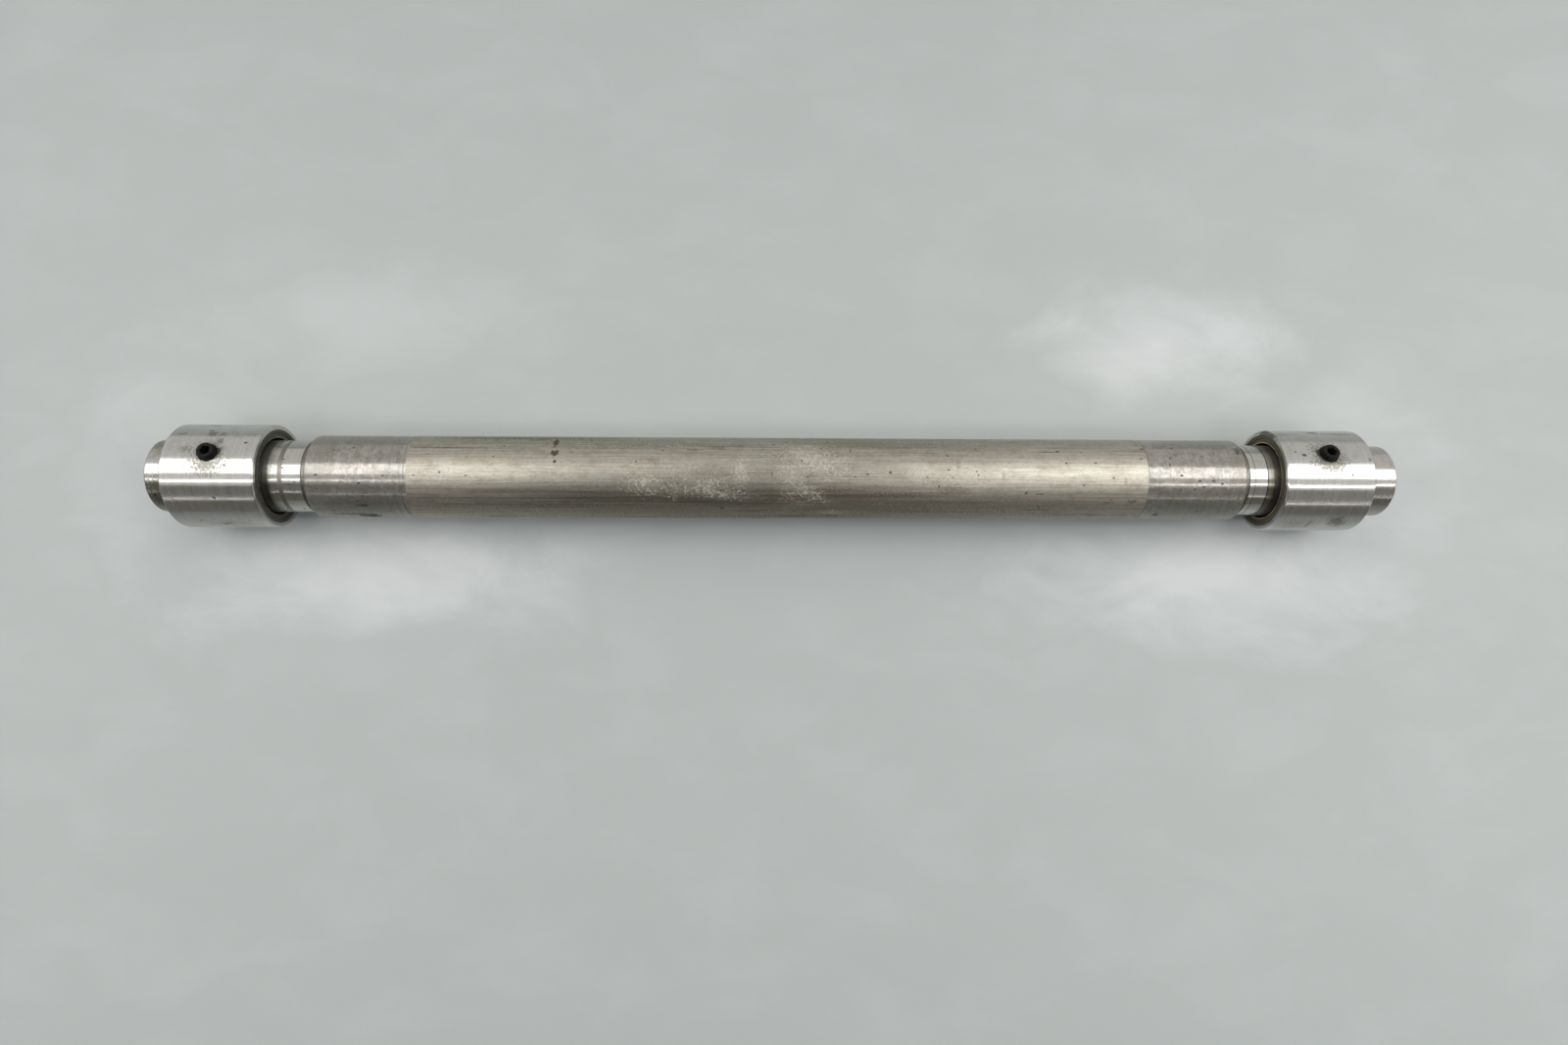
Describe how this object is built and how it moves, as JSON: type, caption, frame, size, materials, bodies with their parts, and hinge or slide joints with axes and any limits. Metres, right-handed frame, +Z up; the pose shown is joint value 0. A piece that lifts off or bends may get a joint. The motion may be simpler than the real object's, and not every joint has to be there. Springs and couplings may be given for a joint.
{
  "type": "shaft",
  "caption": "Stepped round steel shaft with turned seats and journals; at each end a collar, locked by a hexagon socket set screw, holds a seal ring that faces the body",
  "frame": {"origin": "on the surface that the collars lie on, under the middle of the shaft's length", "axes": "+X along the shaft, towards the end with the longer spigot; +Z up, with the set screws on the upper side; +Y towards the side that the set screws lean to"},
  "size_m": [0.6, 0.05, 0.0524],
  "materials": {
    "shaft_steel": "drawn steel, warm grey and scuffed in the middle, turned bright on the seats and journals",
    "collar_steel": "finely turned steel with light stains",
    "seal_rubber": "dark brown, greasy",
    "screw_black": "black oxide, satin"
  },
  "bodies": {
    "root": {"shaft": "shaft_steel", "left_collar": "collar_steel", "left_seal_ring": "seal_rubber", "left_set_screw": "screw_black", "right_collar": "collar_steel", "right_seal_ring": "seal_rubber", "right_set_screw": "screw_black"}
  },
  "joints": []
}
